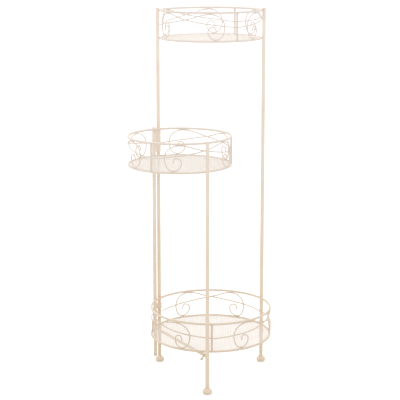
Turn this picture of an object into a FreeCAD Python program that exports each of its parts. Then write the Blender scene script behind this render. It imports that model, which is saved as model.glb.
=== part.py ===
import FreeCAD, Part
import math
import os

# A plant stand of bent and welded metal: a tall frame with two baskets and a
# swing frame with one, hinged on the tall frame's left leg. Millimetres, +Z up,
# front towards -Y. The layout starts from the bottom basket's centre and is
# shifted so that the origin lies on the floor under the middle of the whole.

# Legs, all of one tube
leg_diameter = 10.0
leg_wall = 1.0
leg_spacing = 290.0             # between the two leg axes of either frame
tall_leg_above_ring = 4.7       # tube end above its upper ring's centre
swing_leg_above_ring = 3.0
back_leg_end = 20.0             # underside of the back leg's cap, clear of the foot beside it

# Plugs and feet
plug_length = 9.0
plug_clearance = 0.05
cap_head = 2.0
cap_chamfer = 1.5
end_cap_head = 6.5
foot_diameter = 25.0
foot_base_diameter = 17.0
foot_neck_diameter = 13.0
foot_height = 15.0
foot_belly_low = 4.5
foot_belly_high = 8.0
foot_socket = 10.0

# Baskets: heights are of the upper rings' centres
ring_rod = 6.0
ring_sides = 48                 # straight links round a ring and its floor
basket_rise = 75.3              # lower ring's centre to upper ring's centre
bottom_setback = 91.9           # bottom basket's centre to the line of the tall legs
top_basket_height = 999.0
middle_basket_height = 674.0
bottom_basket_height = 189.5
post_rod = 6.0
floor_thickness = 1.2
floor_bar = 3.0                 # width of a bar of the floor's net
floor_openings = 8              # of the net, from rim to rim
panels = 3
middle_basket_turn = -2.0       # degrees, from its leg to its first panel's edge
bottom_post_bearing = 270.8     # degrees

# Scrolls: two to a panel, one inside the other, with their tails crossing
scroll_rod = 3.3
scroll_clearance = 0.4          # between the two bars where they cross
scroll_set_in = 0.6             # of the pair from the rings' middle, clear of the legs outside
weld_gap = 0.05                 # scroll to ring and to post
link_turn = 24.0                # degrees; bends are drawn in straight links no sharper
link_length = 28.0              # and no longer than this
small_hoop_start = 36.5         # panel's edge to its hoops, top and middle baskets
bottom_hoop_start = 60.0
# across the hoop and up it, as shares of the hoop's height, with the bar's heading in degrees
hoop_shares = (
    (0.345, 0.31, 90.0),        # free inner end
    (0.475, 0.50, 0.0),         # top of the curl
    (0.675, 0.32, -90.0),       # inner side of the curl
    (0.353, 0.00, 180.0),       # foot of the hoop, on the lower ring
    (0.000, 0.50, 90.0),        # outer side of the hoop
    (0.567, 1.00, 0.0),         # crown of the hoop, under the upper ring
)
tail_middle_share = 0.773       # height where the two tails of a panel cross
tail_middle_heading = -11.0
tail_end_share = 0.477
tail_end_heading = -5.0

# Hinge on the tall left leg
hinge_reach = 18.0              # tall left leg's axis to the back leg's axis
hinge_bearing = 229.0           # degrees
hinge_clearance = 0.08          # radial, between eye and leg
eye_wall = 1.6
upper_eye_length = 60.0
lower_eye_length = 10.0
lug_width = 7.0
upper_eye_drop = 34.0           # upper eye's centre below the middle basket's upper ring
lower_eye_drop = 23.0           # lower eye's centre below the bottom basket's upper ring
rest_collar_wall = 2.0
rest_collar_height = 4.0
rest_gap = 0.2                  # collar to lower eye
stop_gap = 0.4                  # front leg to bottom basket

# Crossbar and rest hook of the swing frame
crossbar_rod = 8.0
crossbar_drop = 11.5            # crossbar's axis below the bottom basket's lower ring
hook_rod = 5.0
hook_sides = 8
hook_from_leg = 11.0            # hook's axis to the front leg's axis
hook_bend_radius = 6.0
hook_toe_angle = 48.0           # degrees below level
hook_toe = 7.0
hook_rest_gap = 0.3             # hook's top to the bottom basket's ring
hook_tip_wall = 0.8
hook_tip_length = 6.0

mitred = 1                      # corner style of a sweep along straight links
overrun = 5.0                   # cutters pass the faces they cut by this much
up = FreeCAD.Vector(0, 0, 1)

# Sections: the baskets' bars are square, with the area of the round rods they stand for
square_half_share = math.sqrt(math.pi) / 4
leg_radius = leg_diameter / 2
ring_half = ring_rod * square_half_share
post_half = post_rod * square_half_share
scroll_half = scroll_rod * square_half_share
scroll_layer = scroll_half + scroll_clearance / 2
hoop_low = ring_half + weld_gap + scroll_half
hoop_height = basket_rise - 2 * hoop_low
upper_eye_height = middle_basket_height - upper_eye_drop
lower_eye_height = bottom_basket_height - lower_eye_drop
crossbar_height = bottom_basket_height - basket_rise - crossbar_drop


def bearing_of(start, end):
    return math.degrees(math.atan2(end.y - start.y, end.x - start.x))


def polar(centre, radius, bearing, height=0):
    angle = math.radians(bearing)
    return FreeCAD.Vector(centre.x + radius * math.cos(angle), centre.y + radius * math.sin(angle), height)


def at_height(place, height):
    return FreeCAD.Vector(place.x, place.y, height)


# Layout in plan
touching = leg_radius + ring_half
small_ring_radius = leg_spacing / 2 - touching
bottom_ring_radius = math.hypot(leg_spacing / 2, bottom_setback) - touching
bottom_centre = FreeCAD.Vector(0, 0, 0)
tall_left = FreeCAD.Vector(-leg_spacing / 2, bottom_setback, 0)
tall_right = FreeCAD.Vector(leg_spacing / 2, bottom_setback, 0)
top_centre = (tall_left + tall_right) / 2
swing_back = polar(tall_left, hinge_reach, hinge_bearing)

# The front leg stands a stop's gap off the bottom basket
back_distance = swing_back.distanceToPoint(bottom_centre)
front_distance = bottom_ring_radius + touching + stop_gap
opening_squares = back_distance ** 2 + leg_spacing ** 2 - front_distance ** 2
opening_cosine = opening_squares / (2 * back_distance * leg_spacing)
swing_bearing = bearing_of(swing_back, bottom_centre) - math.degrees(math.acos(opening_cosine))
swing_front = polar(swing_back, leg_spacing, swing_bearing)
middle_centre = (swing_back + swing_front) / 2

# Shift to the middle of the outline
outlines = (
    (top_centre, small_ring_radius + ring_half),
    (middle_centre, small_ring_radius + ring_half),
    (bottom_centre, bottom_ring_radius + ring_half),
    (tall_left, foot_diameter / 2),
    (tall_right, foot_diameter / 2),
    (swing_front, foot_diameter / 2),
)
middle_x = (min(c.x - r for c, r in outlines) + max(c.x + r for c, r in outlines)) / 2
middle_y = (min(c.y - r for c, r in outlines) + max(c.y + r for c, r in outlines)) / 2
shift = FreeCAD.Vector(-middle_x, -middle_y, 0)
bottom_centre += shift
tall_left += shift
tall_right += shift
top_centre += shift
swing_back += shift
swing_front += shift
middle_centre += shift


def save(shape, name):
    shape.exportStep(os.path.join("parts", name + ".step"))


def save_all(shapes, name):
    save(Part.makeCompound(shapes), name)


def rod(place, radius, low, high):
    return Part.makeCylinder(radius, high - low, at_height(place, low), up)


def tube(place, low, high):
    bore = rod(place, leg_radius - leg_wall, low - overrun, high + overrun)
    return rod(place, leg_radius, low, high).cut(bore)


def turned(outline, place):
    """A solid turned about the upright axis at a place, from corners given as radius and height."""
    corners = [FreeCAD.Vector(radius, 0, height) for radius, height in outline + outline[:1]]
    shape = Part.Face(Part.makePolygon(corners)).revolve(FreeCAD.Vector(0, 0, 0), up, 360)
    shape.translate(place)
    return shape


def foot(place):
    socket = leg_radius + plug_clearance
    seat = foot_height - foot_socket
    return turned([
        (0, 0),
        (foot_base_diameter / 2, 0),
        (foot_diameter / 2, foot_belly_low),
        (foot_diameter / 2, foot_belly_high),
        (foot_neck_diameter / 2, foot_height),
        (socket, foot_height),
        (socket, seat),
        (0, seat),
    ], place)


def top_cap(place, tube_end):
    plug = leg_radius - leg_wall - plug_clearance
    return turned([
        (0, tube_end - plug_length),
        (plug, tube_end - plug_length),
        (plug, tube_end),
        (leg_radius, tube_end),
        (leg_radius - cap_chamfer, tube_end + cap_head),
        (0, tube_end + cap_head),
    ], place)


def end_cap(place, tube_end):
    plug = leg_radius - leg_wall - plug_clearance
    low = tube_end - end_cap_head
    return turned([
        (0, low),
        (leg_radius - cap_chamfer, low),
        (leg_radius, low + cap_chamfer),
        (leg_radius, tube_end),
        (plug, tube_end),
        (plug, tube_end + plug_length),
        (0, tube_end + plug_length),
    ], place)


def round_plate(centre, radius, low, high):
    """An upright prism with as many sides as a ring has links."""
    corners = [polar(centre, radius, side * 360 / ring_sides, low) for side in range(ring_sides + 1)]
    return Part.Face(Part.makePolygon(corners)).extrude(up * (high - low))


def ring(centre, radius, height):
    low = height - ring_half
    high = height + ring_half
    inside = round_plate(centre, radius - ring_half, low - overrun, high + overrun)
    return round_plate(centre, radius + ring_half, low, high).cut(inside)


def net(centre, radius, low, high):
    """A flat net: level bars both ways across a round plate, with square openings between them."""
    pitch = 2 * radius / floor_openings
    side = pitch - floor_bar
    edges = [opening * pitch - radius + floor_bar / 2 for opening in range(floor_openings)]
    openings = []
    for x in edges:
        for y in edges:
            corner = FreeCAD.Vector(centre.x + x, centre.y + y, low - overrun)
            openings.append(Part.makeBox(side, side, high - low + 2 * overrun, corner))
    return round_plate(centre, radius, low, high).cut(openings)


def post(centre, radius, bearing, low, high):
    side = 2 * post_half
    shape = Part.makeBox(side, side, high - low, FreeCAD.Vector(radius - post_half, -post_half, low))
    shape.rotate(FreeCAD.Vector(0, 0, 0), up, bearing)
    shape.translate(centre)
    return shape


def arc_links(start, heading, end):
    """The ends of the straight links along the arc that leaves start along heading and passes through end."""
    chord = end - start
    along = chord / chord.Length
    bow = heading - along * heading.dot(along)
    quarter_turn = math.acos(heading.dot(along)) / 2
    middle = (start + end) / 2 + bow / bow.Length * (chord.Length / 2 * math.tan(quarter_turn))
    arc = Part.Arc(start, middle, end).toShape()
    links = max(math.degrees(4 * quarter_turn) / link_turn, arc.Length / link_length)
    return arc.discretize(math.ceil(links) + 1)[1:]


def two_arcs(start, leaving, end, arriving):
    """Two arcs that join start to end with the given headings."""
    span = end - start
    slope = span.dot(leaving + arriving)
    bend = 2 * (1 - leaving.dot(arriving))
    reach = (math.sqrt(slope ** 2 + bend * span.dot(span)) - slope) / bend
    joint = (start + leaving * reach + end - arriving * reach) / 2
    heading = joint - start - leaving * reach
    return arc_links(start, leaving, joint) + arc_links(joint, heading / heading.Length, end)


def scroll(centre, low, radius, bearing, sweep, hoop_start):
    """One bent bar on a basket's wall; the sweep to the panel's far edge is negative for the mirrored bar."""
    panel = radius * math.radians(abs(sweep))
    side = math.copysign(1, sweep)
    stations = []
    for across, height, heading in hoop_shares:
        stations.append((hoop_start + across * hoop_height, height, heading))
    stations.append((panel / 2, tail_middle_share, tail_middle_heading))
    stations.append((panel - post_half - weld_gap, tail_end_share, tail_end_heading))
    points = []
    headings = []
    for along, height, heading in stations:
        angle = math.radians(bearing) + side * along / radius
        points.append(polar(centre, radius, math.degrees(angle), low + hoop_low + height * hoop_height))
        level = FreeCAD.Vector(-math.sin(angle), math.cos(angle), 0) * side
        headings.append(level * math.cos(math.radians(heading)) + up * math.sin(math.radians(heading)))
    path = points[:1]
    for start, leaving, end, arriving in zip(points, headings, points[1:], headings[1:]):
        path += two_arcs(start, leaving, end, arriving)
    outward = points[0] - at_height(centre, points[0].z)
    outward = outward / outward.Length * scroll_half
    across = headings[0].cross(outward)
    corners = [
        points[0] + outward + across,
        points[0] + outward - across,
        points[0] - outward - across,
        points[0] - outward + across,
        points[0] + outward + across,
    ]
    return Part.makePolygon(path).makePipeShell([Part.makePolygon(corners)], True, False, mitred)


def save_basket(name, centre, upper, radius, edges, posts, hoop_start):
    """Rings, floor, posts and scrolls; edges are bearings of the panels' edges, posts those with a post."""
    low = upper - basket_rise
    save(ring(centre, radius, upper), name + "_upper_ring")
    save(ring(centre, radius, low), name + "_lower_ring")
    floor = net(centre, radius - ring_half, low - floor_thickness / 2, low + floor_thickness / 2)
    save(floor, name + "_floor")
    uprights = [post(centre, radius, bearing, low + ring_half, upper - ring_half) for bearing in posts]
    save_all(uprights, name + "_posts")
    inner = radius - scroll_set_in - scroll_layer
    outer = radius - scroll_set_in + scroll_layer
    bars = []
    for bearing, following in zip(edges, edges[1:] + edges[:1]):
        sweep = (following - bearing) % 360
        bars.append(scroll(centre, low, inner, bearing, sweep, hoop_start))
        bars.append(scroll(centre, low, outer, bearing + sweep, -sweep, hoop_start))
    save_all(bars, name + "_scrolls")


def hinge_eye(height, length):
    low = height - length / 2
    high = height + length / 2
    collar = rod(tall_left, leg_radius + hinge_clearance + eye_wall, low, high)
    lug = Part.makeBox(hinge_reach, lug_width, length, FreeCAD.Vector(0, -lug_width / 2, low))
    lug.rotate(FreeCAD.Vector(0, 0, 0), up, hinge_bearing)
    lug.translate(tall_left)
    eye = collar.fuse(lug)
    eye = eye.cut(rod(tall_left, leg_radius + hinge_clearance, low - overrun, high + overrun))
    return eye.cut(rod(swing_back, leg_radius, low - overrun, high + overrun)).removeSplitter()


def rest_collar():
    high = lower_eye_height - lower_eye_length / 2 - rest_gap
    low = high - rest_collar_height
    blank = rod(tall_left, leg_radius + rest_collar_wall, low, high)
    return blank.cut(rod(tall_left, leg_radius, low - overrun, high + overrun))


def crossbar():
    bar = Part.makeCylinder(
        crossbar_rod / 2, leg_spacing, at_height(swing_back, crossbar_height), swing_front - swing_back
    )
    low = crossbar_height - crossbar_rod
    high = crossbar_height + crossbar_rod
    return bar.cut(rod(swing_back, leg_radius, low, high)).cut(rod(swing_front, leg_radius, low, high))


def rest_hook():
    """The hook and its tip: a rod beside the crossbar, top under the ring and toe bent out and down."""
    along = (swing_front - swing_back) / leg_spacing
    outward = along.cross(up)
    place = swing_front - along * hook_from_leg + outward * (crossbar_rod / 2 + hook_rod / 2)
    top = at_height(place, bottom_basket_height - basket_rise - ring_half - hook_rest_gap)
    bend = at_height(place, crossbar_height)
    turn = math.radians(90 - hook_toe_angle)
    centre = bend + outward * hook_bend_radius
    path = [top, bend]
    for angle in (turn / 2, turn):
        path.append(centre - (outward * math.cos(angle) + up * math.sin(angle)) * hook_bend_radius)
    toe = outward * math.sin(turn) - up * math.cos(turn)
    far = path[-1] + toe * hook_toe
    path.append(far)
    section = Part.makePolygon([
        polar(top, hook_rod / 2, corner * 360 / hook_sides, top.z) for corner in range(hook_sides + 1)
    ])
    tip_start = far + toe * hook_tip_wall - toe * hook_tip_length
    tip = Part.makeCylinder(hook_rod / 2 + hook_tip_wall, hook_tip_length, tip_start, toe)
    socket_length = hook_tip_length - hook_tip_wall + overrun
    socket = Part.makeCylinder(hook_rod / 2, socket_length, tip_start - toe * overrun, toe)
    return Part.makePolygon(path).makePipeShell([section], True, False, mitred), tip.cut(socket)


os.makedirs("parts", exist_ok=True)

tube_seat = foot_height - foot_socket
tall_tube_top = top_basket_height + tall_leg_above_ring
swing_tube_top = middle_basket_height + swing_leg_above_ring
back_tube_end = back_leg_end + end_cap_head

# Tall frame
save_all([tube(tall_left, tube_seat, tall_tube_top), rest_collar()], "tall_left_leg")
save(tube(tall_right, tube_seat, tall_tube_top), "tall_right_leg")
tall_ends = [
    foot(tall_left),
    foot(tall_right),
    top_cap(tall_left, tall_tube_top),
    top_cap(tall_right, tall_tube_top),
]
save_all(tall_ends, "tall_leg_ends")

# Swing frame
save(tube(swing_back, back_tube_end, swing_tube_top), "swing_back_leg")
save(tube(swing_front, tube_seat, swing_tube_top), "swing_front_leg")
swing_ends = [
    foot(swing_front),
    top_cap(swing_back, swing_tube_top),
    top_cap(swing_front, swing_tube_top),
]
save_all(swing_ends, "swing_leg_ends")
save(crossbar(), "crossbar")
hook, hook_tip = rest_hook()
save(hook, "rest_hook")
save_all([end_cap(swing_back, back_tube_end), hook_tip], "swing_tips")

# Hinge
upper_eye = hinge_eye(upper_eye_height, upper_eye_length)
lower_eye = hinge_eye(lower_eye_height, lower_eye_length)
save_all([upper_eye, lower_eye], "hinge_eyes")

# Baskets
panel_sweep = 360 / panels
top_start = bearing_of(top_centre, tall_left)
top_edges = [top_start + panel * panel_sweep for panel in range(panels)]
save_basket(
    "top", top_centre, top_basket_height, small_ring_radius,
    top_edges, top_edges[1:], small_hoop_start
)
middle_start = bearing_of(middle_centre, swing_back) + middle_basket_turn
middle_edges = [middle_start + panel * panel_sweep for panel in range(panels)]
save_basket(
    "middle", middle_centre, middle_basket_height, small_ring_radius,
    middle_edges, middle_edges[1:], small_hoop_start
)
bottom_posts = [bottom_post_bearing]
bottom_start = bearing_of(bottom_centre, tall_left)
bottom_edges = [bottom_start] + bottom_posts + [bearing_of(bottom_centre, tall_right)]
save_basket(
    "bottom", bottom_centre, bottom_basket_height, bottom_ring_radius,
    bottom_edges, bottom_posts, bottom_hoop_start
)
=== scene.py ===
import math

import bmesh
import bpy
from mathutils import Matrix, Vector, noise


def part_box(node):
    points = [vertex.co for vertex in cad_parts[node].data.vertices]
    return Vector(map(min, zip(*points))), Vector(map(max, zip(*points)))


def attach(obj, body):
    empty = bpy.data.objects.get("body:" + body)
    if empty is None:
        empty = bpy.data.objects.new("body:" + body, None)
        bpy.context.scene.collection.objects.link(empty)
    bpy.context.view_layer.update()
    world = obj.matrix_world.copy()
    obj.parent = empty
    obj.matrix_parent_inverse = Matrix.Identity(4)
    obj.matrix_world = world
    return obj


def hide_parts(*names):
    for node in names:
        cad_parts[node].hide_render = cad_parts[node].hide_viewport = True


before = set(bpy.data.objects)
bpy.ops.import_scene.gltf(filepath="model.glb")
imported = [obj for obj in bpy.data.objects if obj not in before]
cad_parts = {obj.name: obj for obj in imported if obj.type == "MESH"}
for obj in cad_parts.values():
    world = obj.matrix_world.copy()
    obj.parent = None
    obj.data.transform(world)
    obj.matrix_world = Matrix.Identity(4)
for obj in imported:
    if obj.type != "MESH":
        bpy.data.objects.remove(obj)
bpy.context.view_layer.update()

# A cream plant stand: round wires, tubes, feet and mesh floors stand for the plain solids of the frame.
# Places come from the frame's nodes, and sizes are in metres.

# Camera
camera_place = (-0.0010, -3.3270, 1.1871)
camera_tilt = 10.617            # degrees below level
camera_lens = 111.57            # millimetres
camera_sensor = 36.0            # millimetres
camera_shift = -0.07            # of the sensor's width
camera_far = 200.0

# Wires, by their radius
ring_wire = 0.0030
post_wire = 0.0030
post_trim = 0.0002              # takes a post's skin clear of the rings' skin
scroll_wire = 0.00165
scroll_set_in = 0.0008          # of a panel's two scrolls from the CAD rings' middle
mesh_wire = 0.0006              # half the width of a flattened strand
mesh_flat_share = 0.60
mesh_pitch = 0.0046
mesh_grip = 0.0012              # how far a mesh wire runs into its ring
hook_wire = 0.0025
crossbar_wire = 0.0040

# Scrolls, as in the source
small_hoop_start = 0.0365       # panel's edge to its hoops, top and middle baskets
bottom_hoop_start = 0.0600
# across the hoop and up it, as shares of the hoop's height, with the bar's heading in degrees
hoop_shares = (
    (0.345, 0.31, 90.0),        # free inner end
    (0.475, 0.50, 0.0),         # top of the curl
    (0.675, 0.32, -90.0),       # inner side of the curl
    (0.353, 0.00, 180.0),       # foot of the hoop, on the lower ring
    (0.000, 0.50, 90.0),        # outer side of the hoop
    (0.567, 1.00, 0.0),         # crown of the hoop, under the upper ring
)
foot_station = 3                # places of the foot and the crown in that table
crown_station = 5
tail_middle_share = 0.773
tail_middle_heading = -11.0
tail_end_share = 0.477
tail_end_heading = -5.0
panels = 3
middle_basket_turn = -2.0
bottom_post_bearing = 270.8

# Hook, as in the source
hook_from_leg = 0.0110
hook_bend_radius = 0.0060
hook_toe_angle = 48.0
hook_toe = 0.0070
hook_tip_wall = 0.0008
hook_tip_length = 0.0060

# Legs and their ends
leg_radius = 0.0050
leg_wall = 0.0010
foot_height = 0.0150
foot_radius = 0.0125
cap_head = 0.0020
end_cap_head = 0.0065
edge_round = 0.0008
collar_wall = 0.0020
collar_height = 0.0040
rest_gap = 0.0002
foot_outline_shares = (
    (0.64, 0.000),
    (0.80, 0.035),
    (0.96, 0.210),
    (1.00, 0.420),
    (0.95, 0.630),
    (0.80, 0.820),
    (0.62, 0.930),
    (0.53, 0.985),
    (0.44, 1.000),
)
cap_outline_shares = (
    (1.000, 0.30),
    (0.955, 0.62),
    (0.840, 0.88),
    (0.680, 0.97),
)

# Welds: half of a bead's length, depth and height
leg_weld = (0.0042, 0.0022, 0.0026)
post_weld = (0.0034, 0.0034, 0.0014)
scroll_weld = (0.0032, 0.0010, 0.0013)
bar_weld = (0.0050, 0.0024, 0.0050)
leg_weld_in_share = 0.25        # of the ring's wire, inwards from its outer skin
leg_weld_drop_share = 0.5       # and down from its middle
weld_rough_share = 0.16
weld_lumps = 2.0                # scale of the unevenness on a bead of unit size
weld_scatter = 900.0            # makes beads at different places differ

# Fineness of the drawn meshes
arc_step = 5.0                  # degrees along a bend
arc_length = 0.008              # and metres along a straight run
straight_limit = 1e-4           # sine of half an arc's turn, under which it is drawn straight
end_round_degrees = (30, 60, 80)
ring_steps = 144
hook_steps = 6
foot_steps = 5
wire_sides = 12
rod_sides = 16
bar_sides = 20
lathe_sides = 48
mesh_sides = 6
weld_fineness = 3

# Coating: painted shade makes every coat darker and warmer towards the floor
low_shade_reach = 0.90                # height where that tone has faded out
low_shade_share = 0.70                # of that tone at the floor
tint_noise = {"Scale": 14.0, "Detail": 3.0, "Roughness": 0.55}
chip_noise = {"Scale": 320.0, "Detail": 4.0, "Roughness": 0.62}
grain_noise = {"Detail": 2.0, "Roughness": 0.5}
tint_levels = (0.30, 0.62)      # of the noise, for the full shade and the full colour
chip_fade = 0.03                # of the noise, across a chip's rim
gloss_below = 0.08              # roughness falls by this where the grain is low
gloss_above = 0.10              # and rises by this where it is high
grain_strength = 0.35
coat_roughness = 0.30
specular_level = 0.4

# Sockets of a colour mix, counted past those of the same name for numbers and vectors
mix_share = 0
mix_first = 6
mix_second = 7
mix_result = 2

# Light and floor: the key comes from above and a little behind
key_level = 0.90
key_spread = 60.0               # degrees
key_angles = (-25.0, -12.0, 0.0)  # degrees about x, y and z
world_level = 0.92
floor_reach = 60.0
floor_white = 0.72
floor_glow_share = 0.40
pure_white = (1.0, 1.0, 1.0, 1.0)

up = Vector((0.0, 0.0, 1.0))


def middle(node):
    """The middle of a node's box."""
    low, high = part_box(node)
    return (low + high) / 2


def at_height(point, height):
    return Vector((point.x, point.y, height))


def flat(point):
    return at_height(point, 0.0)


def bearing_of(start, end):
    """The level direction from start to end, in degrees."""
    return math.degrees(math.atan2(end.y - start.y, end.x - start.x))


def polar(centre, radius, bearing, height):
    """A point at a height, with its distance and bearing from a centre."""
    angle = math.radians(bearing)
    return Vector((centre.x + radius * math.cos(angle), centre.y + radius * math.sin(angle), height))


# Mesh building

def new_piece(name, bm, material, body, slot, *nodes):
    """Turns built geometry into a piece that rides on a body and stands for the named nodes."""
    bmesh.ops.recalc_face_normals(bm, faces=bm.faces)
    mesh = bpy.data.meshes.new(name)
    bm.to_mesh(mesh)
    bm.free()
    mesh.materials.append(material)
    for face in mesh.polygons:
        face.use_smooth = True
    piece = bpy.data.objects.new(name, mesh)
    bpy.context.scene.collection.objects.link(piece)
    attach(piece, body)
    if nodes:
        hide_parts(*nodes)


def bridge(bm, first, second):
    """Faces between two closed loops of as many points."""
    count = len(first)
    for i in range(count):
        j = (i + 1) % count
        bm.faces.new((first[i], first[j], second[j], second[i]))


def sweep(bm, points, radius, sides, closed=False):
    """A round wire along points, with rounded ends unless it is closed."""
    count = len(points)
    tangents = []
    for i in range(count):
        before = points[i - 1] if closed or i else points[0]
        after = points[(i + 1) % count] if closed or i < count - 1 else points[-1]
        tangents.append((after - before).normalized())
    normal = tangents[0].orthogonal().normalized()
    stations = []
    for point, tangent in zip(points, tangents):
        normal = (normal - tangent * normal.dot(tangent)).normalized()
        stations.append((point, tangent, normal, radius))
    if not closed:
        rounded = []
        for end, way in ((stations[0], -1), (stations[-1], 1)):
            point, tangent, across, size = end
            tip = []
            for degrees in end_round_degrees:
                angle = math.radians(degrees)
                step = tangent * (way * size * math.sin(angle))
                tip.append((point + step, tangent, across, size * math.cos(angle)))
            rounded.append(tip)
        stations = rounded[0][::-1] + stations + rounded[1]
    loops = []
    for point, tangent, across, size in stations:
        other = tangent.cross(across)
        loop = []
        for side in range(sides):
            angle = 2 * math.pi * side / sides
            loop.append(bm.verts.new(point + (across * math.cos(angle) + other * math.sin(angle)) * size))
        loops.append(loop)
    for first, second in zip(loops, loops[1:]):
        bridge(bm, first, second)
    if closed:
        offset = min(range(sides), key=lambda k: (loops[0][k].co - loops[-1][0].co).length)
        bridge(bm, loops[-1], loops[0][offset:] + loops[0][:offset])
    else:
        bm.faces.new(loops[0])
        bm.faces.new(loops[-1])


def lathe(bm, outline, place):
    """A turned form about the upright axis at a place, from points given as radius and height."""
    loops = []
    for radius, height in outline:
        if radius <= 0:
            loops.append([bm.verts.new(place + up * height)])
            continue
        loop = []
        for side in range(lathe_sides):
            angle = 2 * math.pi * side / lathe_sides
            spoke = Vector((radius * math.cos(angle), radius * math.sin(angle), height))
            loop.append(bm.verts.new(place + spoke))
        loops.append(loop)
    for first, second in zip(loops, loops[1:]):
        if len(first) == 1 or len(second) == 1:
            centre, rim = (first, second) if len(first) == 1 else (second, first)
            for i in range(lathe_sides):
                bm.faces.new((centre[0], rim[i], rim[(i + 1) % lathe_sides]))
        else:
            bridge(bm, first, second)


def smooth_outline(points, steps):
    """Points on a smooth curve through the given ones."""
    curve = []
    last = len(points) - 1
    for i in range(last):
        p0 = Vector(points[max(i - 1, 0)])
        p1 = Vector(points[i])
        p2 = Vector(points[i + 1])
        p3 = Vector(points[min(i + 2, last)])
        for k in range(steps):
            t = k / steps
            blend = p1 * 2 + (p2 - p0) * t
            blend += (p0 * 2 - p1 * 5 + p2 * 4 - p3) * t ** 2
            blend += (p1 * 3 - p0 - p2 * 3 + p3) * t ** 3
            curve.append(tuple(blend / 2))
    curve.append(tuple(points[-1]))
    return curve


def weld(bm, place, bearing, size):
    """An uneven bead, longest along the level direction square to the bearing."""
    turn = Matrix.Rotation(math.radians(bearing + 90), 4, "Z")
    scale = Matrix.Diagonal((size[0], size[1], size[2], 1.0))
    made = bmesh.ops.create_icosphere(bm, subdivisions=weld_fineness, radius=1.0, matrix=Matrix.Identity(4))
    for vert in made["verts"]:
        swell = 1 + weld_rough_share * noise.noise(vert.co * weld_lumps + place * weld_scatter)
        vert.co = place + turn @ (scale @ (vert.co * swell))


# Scroll path

def arc_points(start, heading, end):
    """Points after start on the arc that leaves start along heading and ends at end."""
    chord = end - start
    along = chord.normalized()
    half = math.acos(max(-1.0, min(1.0, heading.dot(along))))
    steps = max(math.degrees(2 * half) / arc_step, chord.length / arc_length)
    steps = math.ceil(steps)
    if math.sin(half) < straight_limit:
        return [start.lerp(end, k / steps) for k in range(1, steps + 1)]
    radius = chord.length / (2 * math.sin(half))
    inward = (along - heading * math.cos(half)).normalized()
    points = []
    for k in range(1, steps + 1):
        angle = 2 * half * k / steps
        forward = heading * (radius * math.sin(angle))
        points.append(start + forward + inward * (radius * (1 - math.cos(angle))))
    return points


def two_arcs(start, leaving, end, arriving):
    """Points after start on two arcs that meet smoothly, with the headings given at both ends."""
    span = end - start
    slope = span.dot(leaving + arriving)
    bend = 2 * (1 - leaving.dot(arriving))
    reach = (math.sqrt(slope ** 2 + bend * span.dot(span)) - slope) / bend
    joint = (start + leaving * reach + end - arriving * reach) / 2
    heading = (joint - start - leaving * reach).normalized()
    return arc_points(start, leaving, joint) + arc_points(joint, heading, end)


def scroll_path(centre, radius, bearing, sweep_degrees, low, rise, hoop_start):
    """The path of one scroll, and where it touches the lower and the upper ring."""
    panel = radius * math.radians(abs(sweep_degrees))
    side = math.copysign(1, sweep_degrees)
    stations = []
    for across, height, heading in hoop_shares:
        stations.append((hoop_start + across * rise, height, heading))
    stations.append((panel / 2, tail_middle_share, tail_middle_heading))
    stations.append((panel - post_wire, tail_end_share, tail_end_heading))
    points = []
    headings = []
    for along, height, heading in stations:
        angle = math.radians(bearing) + side * along / radius
        points.append(polar(centre, radius, math.degrees(angle), low + height * rise))
        level = Vector((-math.sin(angle), math.cos(angle), 0.0)) * side
        headings.append(level * math.cos(math.radians(heading)) + up * math.sin(math.radians(heading)))
    path = points[:1]
    for start, leaving, end, arriving in zip(points, headings, points[1:], headings[1:]):
        path += two_arcs(start, leaving, end, arriving)
    return path, points[foot_station], points[crown_station]


# Materials

def add_node(tree, kind, **inputs):
    """A shader node with the values of its inputs, in whose names an underscore stands for a space."""
    node = tree.nodes.new(kind)
    for name, value in inputs.items():
        node.inputs[name.replace("_", " ")].default_value = value
    return node


def srgb(red, green, blue):
    """A linear colour from the 0 to 255 values that a screen shows."""
    linear = []
    for value in (red, green, blue):
        share = value / 255
        linear.append(share / 12.92 if share <= 0.04045 else ((share + 0.055) / 1.055) ** 2.4)
    return (*linear, 1.0)


def noise_level(tree, place, **inputs):
    """The level of a noise at a place."""
    texture = add_node(tree, "ShaderNodeTexNoise", **inputs)
    tree.links.new(place, texture.inputs["Vector"])
    return texture.outputs["Fac"]


def blended(tree, share, first, second):
    """A colour that goes from that of the first socket to the second colour as the share rises."""
    mix = tree.nodes.new("ShaderNodeMix")
    mix.data_type = "RGBA"
    mix.inputs[mix_second].default_value = second
    tree.links.new(share, mix.inputs[mix_share])
    tree.links.new(first, mix.inputs[mix_first])
    return mix.outputs[mix_result]


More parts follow.
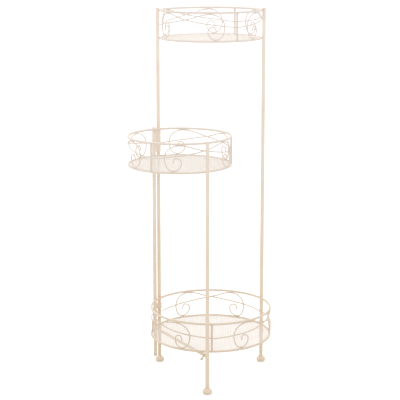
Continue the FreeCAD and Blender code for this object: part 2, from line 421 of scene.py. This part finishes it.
def coated(name, colour, shade, low, worn, roughness, grain_scale, grain_depth, chip_level, coat):
    """A painted or moulded surface: broad tints, painted shade darker towards the floor, fine grain, worn
    chips.
    """
    material = bpy.data.materials.new(name)
    material.use_nodes = True
    tree = material.node_tree
    shader = tree.nodes["Principled BSDF"]
    place = add_node(tree, "ShaderNodeTexCoord").outputs["Object"]

    tints = tree.nodes.new("ShaderNodeValToRGB")
    for element, level, tint in zip(tints.color_ramp.elements, tint_levels, (shade, colour)):
        element.position = level
        element.color = tint
    tree.links.new(noise_level(tree, place, **tint_noise), tints.inputs["Fac"])

    split = add_node(tree, "ShaderNodeSeparateXYZ")
    tree.links.new(place, split.inputs["Vector"])
    # Painted shade: the colour blends towards the darker low colour nearer the floor
    low_shade = add_node(
        tree, "ShaderNodeMapRange", From_Min=0.0, From_Max=low_shade_reach, To_Min=low_shade_share, To_Max=0.0)
    tree.links.new(split.outputs["Z"], low_shade.inputs["Value"])
    toned = blended(tree, low_shade.outputs["Result"], tints.outputs["Color"], low)

    chips = tree.nodes.new("ShaderNodeValToRGB")
    chips.color_ramp.elements[0].position = chip_level
    chips.color_ramp.elements[1].position = chip_level + chip_fade
    tree.links.new(noise_level(tree, place, **chip_noise), chips.inputs["Fac"])
    chipped = blended(tree, chips.outputs["Color"], toned, worn)
    tree.links.new(chipped, shader.inputs["Base Color"])

    grain = noise_level(tree, place, Scale=grain_scale, **grain_noise)
    least = roughness - gloss_below
    most = roughness + gloss_above
    gloss = add_node(tree, "ShaderNodeMapRange", To_Min=least, To_Max=most)
    tree.links.new(grain, gloss.inputs["Value"])
    tree.links.new(gloss.outputs["Result"], shader.inputs["Roughness"])
    relief = add_node(tree, "ShaderNodeBump", Strength=grain_strength, Distance=grain_depth)
    tree.links.new(grain, relief.inputs["Height"])
    tree.links.new(relief.outputs["Normal"], shader.inputs["Normal"])
    shader.inputs["Coat Weight"].default_value = coat
    shader.inputs["Coat Roughness"].default_value = coat_roughness
    shader.inputs["Specular IOR Level"].default_value = specular_level
    return material


# Each coat's low colour is painted shade, blended in towards the floor
cream = coated(
    "cream_powder_coat", colour=srgb(251, 240, 229), shade=srgb(245, 230, 215), low=srgb(231, 208, 175),
    worn=srgb(190, 167, 142), roughness=0.46, grain_scale=900.0, grain_depth=0.00012,
    chip_level=0.735, coat=0.10,
)
# The frame's cream coat made darker: painted shade for the thin wires' shaded sides
shaded_cream_wire = coated(
    "painted_shade_wire_coat", colour=srgb(242, 232, 224), shade=srgb(236, 223, 210), low=srgb(221, 199, 170),
    worn=srgb(180, 160, 138), roughness=0.46, grain_scale=900.0, grain_depth=0.00012,
    chip_level=0.735, coat=0.10,
)
cream_mesh = coated(
    "cream_mesh_coat", colour=srgb(255, 251, 245), shade=srgb(254, 247, 239), low=srgb(243, 232, 219),
    worn=srgb(212, 195, 174), roughness=0.50, grain_scale=1500.0, grain_depth=0.00006,
    chip_level=0.74, coat=0.0,
)
cream_plastic = coated(
    "cream_moulding", colour=srgb(240, 224, 205), shade=srgb(230, 211, 187), low=srgb(241, 225, 202),
    worn=srgb(198, 178, 152), roughness=0.52, grain_scale=620.0, grain_depth=0.00008,
    chip_level=0.76, coat=0.0,
)
grey_plastic = coated(
    "grey_moulding", colour=srgb(216, 208, 196), shade=srgb(202, 194, 181), low=srgb(215, 207, 195),
    worn=srgb(168, 159, 145), roughness=0.55, grain_scale=700.0, grain_depth=0.00010,
    chip_level=0.72, coat=0.0,
)

# Layout from the frame
tall_left = flat(middle("tall_left_leg"))
tall_right = flat(middle("tall_right_leg"))
swing_back = flat(middle("swing_back_leg"))
swing_front = flat(middle("swing_front_leg"))
tall_legs = (tall_left, tall_right)
swing_legs = (swing_back, swing_front)


def ring_facts(node):
    """Centre, outer radius, height and half the thickness of a CAD ring."""
    low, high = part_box(node)
    centre = (low + high) / 2
    return centre, (high.x - low.x) / 2, centre.z, (high.z - low.z) / 2


def draw_basket(name, body, legs, edges, posts, hoop_start):
    """A basket's wires, floor and welds, in place of its solids."""
    centre, outer, upper, half = ring_facts(name + "_upper_ring")
    lower = ring_facts(name + "_lower_ring")[2]
    line = outer - ring_wire
    for part, height in (("upper", upper), ("lower", lower)):
        bm = bmesh.new()
        points = [polar(centre, line, 360 * k / ring_steps, height) for k in range(ring_steps)]
        sweep(bm, points, ring_wire, rod_sides, closed=True)
        ring = name + "_" + part + "_ring"
        new_piece(ring + "_wire", bm, shaded_cream_wire, body, "cream_coating", ring)

    bm = bmesh.new()
    for bearing in posts:
        ends = [polar(centre, line, bearing, height) for height in (lower, (lower + upper) / 2, upper)]
        sweep(bm, ends, post_wire - post_trim, rod_sides)
    new_piece(name + "_post_wires", bm, shaded_cream_wire, body, "cream_coating", name + "_posts")

    scrolls = bmesh.new()
    welds = bmesh.new()
    low = lower + ring_wire + scroll_wire
    rise = upper - lower - 2 * (ring_wire + scroll_wire)
    middle_line = outer - half - scroll_set_in
    for bearing, following in zip(edges, edges[1:] + edges[:1]):
        sweep_degrees = (following - bearing) % 360
        for radius, start, turn in (
            (middle_line - scroll_wire, bearing, sweep_degrees),
            (middle_line + scroll_wire, following, -sweep_degrees),
        ):
            path, sole, crown = scroll_path(centre, radius, start, turn, low, rise, hoop_start)
            sweep(scrolls, path, scroll_wire, wire_sides)
            weld(welds, sole - up * scroll_wire, bearing_of(centre, sole), scroll_weld)
            weld(welds, crown + up * scroll_wire, bearing_of(centre, crown), scroll_weld)
    new_piece(name + "_scroll_wires", scrolls, shaded_cream_wire, body, "cream_coating", name + "_scrolls")

    for place in legs:
        bearing = bearing_of(centre, place)
        for height in (lower, upper):
            seat_height = height - leg_weld_drop_share * ring_wire
            seat = polar(centre, outer - leg_weld_in_share * ring_wire, bearing, seat_height)
            weld(welds, seat, bearing, leg_weld)
    for bearing in posts:
        for height in (lower + ring_wire, upper - ring_wire):
            weld(welds, polar(centre, line, bearing, height), bearing, post_weld)
    new_piece(name + "_welds", welds, shaded_cream_wire, body, "cream_coating")

    bm = bmesh.new()
    floor = middle(name + "_floor").z
    reach = line - ring_wire + mesh_grip
    lines = math.floor(reach / mesh_pitch)
    for layer, bearing in ((mesh_wire, 0.0), (-mesh_wire, 90.0)):
        along = polar(Vector((0.0, 0.0, 0.0)), 1.0, bearing, 0.0)
        across = along.cross(up)
        for k in range(-lines, lines + 1):
            offset = k * mesh_pitch
            length = math.sqrt(reach ** 2 - offset ** 2)
            start = at_height(centre, floor + layer) + across * offset
            sweep(bm, [start - along * length, start + along * length], mesh_wire, mesh_sides)
    for vert in bm.verts:
        vert.co.z = floor + (vert.co.z - floor) * mesh_flat_share
    new_piece(name + "_mesh_floor", bm, cream_mesh, body, "mesh_floor", name + "_floor")


panel_sweep = 360 / panels
top_centre = middle("top_upper_ring")
top_start = bearing_of(top_centre, tall_left)
top_edges = [top_start + panel * panel_sweep for panel in range(panels)]
draw_basket("top", "tall_frame", tall_legs, top_edges, top_edges[1:], small_hoop_start)

middle_centre = middle("middle_upper_ring")
middle_start = bearing_of(middle_centre, swing_back) + middle_basket_turn
middle_edges = [middle_start + panel * panel_sweep for panel in range(panels)]
draw_basket("middle", "swing_frame", swing_legs, middle_edges, middle_edges[1:], small_hoop_start)

bottom_centre = middle("bottom_upper_ring")
bottom_start = bearing_of(bottom_centre, tall_left)
bottom_end = bearing_of(bottom_centre, tall_right)
bottom_edges = [bottom_start, bottom_post_bearing, bottom_end]
draw_basket("bottom", "tall_frame", tall_legs, bottom_edges, [bottom_post_bearing], bottom_hoop_start)


# Legs, feet and caps

def tube(bm, place, low, high):
    """A round tube, with loops close to both ends so that its shading stays even."""
    bore = leg_radius - leg_wall
    outline = [(bore, low)]
    for height in (low, low + edge_round, high - edge_round, high):
        outline.append((leg_radius, height))
    lathe(bm, outline + [(bore, high)], place)


def foot(bm, place):
    """A flattened ball with a flat base and a low lip where the tube goes in."""
    outline = [(radius * foot_radius, height * foot_height) for radius, height in foot_outline_shares]
    outline = smooth_outline(outline, foot_steps)
    lathe(bm, [(0.0, 0.0)] + outline + [(leg_radius, foot_height - edge_round)], place)


def top_cap(bm, place, seat):
    """A low dome on the upper end of a tube."""
    outline = [(leg_radius, seat)]
    for radius, height in cap_outline_shares:
        outline.append((radius * leg_radius, seat + height * cap_head))
    lathe(bm, outline + [(0.0, seat + cap_head)], place)


def end_cap(bm, place, low):
    """The same dome turned down, under the straight wall of the cap that closes a tube's lower end."""
    outline = [(0.0, low)]
    for radius, height in reversed(cap_outline_shares):
        outline.append((radius * leg_radius, low + (1 - height) * cap_head))
    lathe(bm, outline + [(leg_radius, low + end_cap_head)], place)


def sleeve(bm, place, radius, low, high):
    """A short collar with rounded rims round a leg."""
    outer = radius - edge_round
    lathe(bm, [
        (leg_radius, low),
        (outer, low),
        (radius, low + edge_round),
        (radius, high - edge_round),
        (outer, high),
        (leg_radius, high),
    ], place)


def leg(name, node, body, place):
    """A leg's tube, and on the tall frame's left leg the collar under the lower hinge eye."""
    low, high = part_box(node)
    bm = bmesh.new()
    tube(bm, place, low.z, high.z)
    if node == "tall_left_leg":
        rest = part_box("hinge_eyes")[0].z - rest_gap
        sleeve(bm, place, leg_radius + collar_wall, rest - collar_height, rest)
    new_piece(name, bm, cream, body, "cream_coating", node)


leg("tall_left_tube", "tall_left_leg", "tall_frame", tall_left)
leg("tall_right_tube", "tall_right_leg", "tall_frame", tall_right)
leg("swing_back_tube", "swing_back_leg", "swing_frame", swing_back)
leg("swing_front_tube", "swing_front_leg", "swing_frame", swing_front)

tall_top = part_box("tall_right_leg")[1].z
bm = bmesh.new()
for place in tall_legs:
    foot(bm, place)
    top_cap(bm, place, tall_top)
new_piece("tall_feet_and_caps", bm, cream_plastic, "tall_frame", "cream_plastic", "tall_leg_ends")

swing_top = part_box("swing_front_leg")[1].z
bm = bmesh.new()
foot(bm, swing_front)
for place in swing_legs:
    top_cap(bm, place, swing_top)
new_piece("swing_foot_and_caps", bm, cream_plastic, "swing_frame", "cream_plastic", "swing_leg_ends")

# Crossbar and hook
along = (swing_front - swing_back).normalized()
outward = along.cross(up)
bar_bearing = bearing_of(swing_back, swing_front)
bar_height = middle("crossbar").z
bar_start = at_height(swing_back, bar_height) + along * (leg_radius - edge_round)
bar_end = at_height(swing_front, bar_height) - along * (leg_radius - edge_round)
bm = bmesh.new()
sweep(bm, [bar_start, (bar_start + bar_end) / 2, bar_end], crossbar_wire, bar_sides)
new_piece("crossbar_rod", bm, cream, "swing_frame", "cream_coating", "crossbar")

hook_place = swing_front - along * hook_from_leg + outward * (crossbar_wire + hook_wire)
hook_top = at_height(hook_place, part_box("rest_hook")[1].z - hook_wire)
hook_bend = at_height(hook_place, bar_height)
turn = 90 - hook_toe_angle
bend_centre = hook_bend + outward * hook_bend_radius
path = [hook_top, hook_bend]
for step in range(1, hook_steps + 1):
    angle = math.radians(turn * step / hook_steps)
    path.append(bend_centre - (outward * math.cos(angle) + up * math.sin(angle)) * hook_bend_radius)
toe = outward * math.sin(math.radians(turn)) - up * math.cos(math.radians(turn))
hook_end = path[-1] + toe * hook_toe
bm = bmesh.new()
sweep(bm, path + [hook_end - toe * hook_wire], hook_wire, rod_sides)
new_piece("rest_hook_rod", bm, cream, "swing_frame", "cream_coating", "rest_hook")

bm = bmesh.new()
end_cap(bm, swing_back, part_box("swing_tips")[0].z)
tip_radius = hook_wire + hook_tip_wall
tip_end = hook_end + toe * (hook_tip_wall - tip_radius)
sweep(bm, [tip_end - toe * (hook_tip_length - 2 * tip_radius), tip_end], tip_radius, bar_sides)
new_piece("swing_tip_mouldings", bm, grey_plastic, "swing_frame", "grey_plastic", "swing_tips")

bm = bmesh.new()
weld(bm, bar_start, bar_bearing, bar_weld)
weld(bm, bar_end, bar_bearing, bar_weld)
weld(bm, hook_bend - outward * hook_wire, bar_bearing + 90, post_weld)
new_piece("crossbar_welds", bm, cream, "swing_frame", "cream_coating")

# Hinge
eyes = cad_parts["hinge_eyes"]
eyes.data.materials.clear()
eyes.data.materials.append(cream)


# Floor, light and camera

def seen_directly(tree):
    """A socket that is 1 for what the camera, a reflection or a clear piece shows, and 0 for other light."""
    rays = tree.nodes.new("ShaderNodeLightPath")
    seen = rays.outputs["Is Camera Ray"]
    for kind in ("Is Glossy Ray", "Is Transmission Ray"):
        either = tree.nodes.new("ShaderNodeMath")
        either.operation = "MAXIMUM"
        tree.links.new(seen, either.inputs[0])
        tree.links.new(rays.outputs[kind], either.inputs[1])
        seen = either.outputs[0]
    return seen


floor_mesh = bpy.data.meshes.new("studio_floor")
floor_corners = [(x * floor_reach, y * floor_reach, 0) for x, y in ((-1, -1), (1, -1), (1, 1), (-1, 1))]
floor_mesh.from_pydata(floor_corners, [], [(0, 1, 2, 3)])
floor = bpy.data.objects.new("studio_floor", floor_mesh)
bpy.context.scene.collection.objects.link(floor)
pale = bpy.data.materials.new("studio_floor_paint")
pale.use_nodes = True
tree = pale.node_tree
tree.nodes.clear()
output = tree.nodes.new("ShaderNodeOutputMaterial")
matt = add_node(tree, "ShaderNodeBsdfDiffuse", Color=(floor_white, floor_white, floor_white, 1.0))
glow = add_node(tree, "ShaderNodeEmission", Color=pure_white)
share = tree.nodes.new("ShaderNodeMath")
share.operation = "MULTIPLY"
share.inputs[1].default_value = floor_glow_share
tree.links.new(seen_directly(tree), share.inputs[0])
tree.links.new(share.outputs[0], glow.inputs["Strength"])
both = tree.nodes.new("ShaderNodeAddShader")
tree.links.new(matt.outputs[0], both.inputs[0])
tree.links.new(glow.outputs[0], both.inputs[1])
tree.links.new(both.outputs[0], output.inputs["Surface"])
floor_mesh.materials.append(pale)

world = bpy.data.worlds.new("studio_world")
bpy.context.scene.world = world
world.use_nodes = True
tree = world.node_tree
tree.nodes.clear()
output = tree.nodes.new("ShaderNodeOutputWorld")
ambient = add_node(tree, "ShaderNodeBackground", Color=pure_white, Strength=world_level)
white = add_node(tree, "ShaderNodeBackground", Color=pure_white, Strength=1.0)
pick = tree.nodes.new("ShaderNodeMixShader")
tree.links.new(seen_directly(tree), pick.inputs[0])
tree.links.new(ambient.outputs[0], pick.inputs[1])
tree.links.new(white.outputs[0], pick.inputs[2])
tree.links.new(pick.outputs[0], output.inputs["Surface"])

key = bpy.data.lights.new("key_light", "SUN")
key.energy = key_level
key.angle = math.radians(key_spread)
key_object = bpy.data.objects.new("key_light", key)
key_object.rotation_euler = [math.radians(angle) for angle in key_angles]
bpy.context.scene.collection.objects.link(key_object)

lens = bpy.data.cameras.new("photo_camera")
lens.sensor_width = camera_sensor
lens.lens = camera_lens
lens.shift_y = camera_shift
lens.clip_end = camera_far
camera = bpy.data.objects.new("photo_camera", lens)
camera.location = camera_place
camera.rotation_euler = (math.radians(90 - camera_tilt), 0.0, 0.0)
bpy.context.scene.collection.objects.link(camera)
bpy.context.scene.camera = camera
bpy.context.scene.view_settings.view_transform = "Standard"
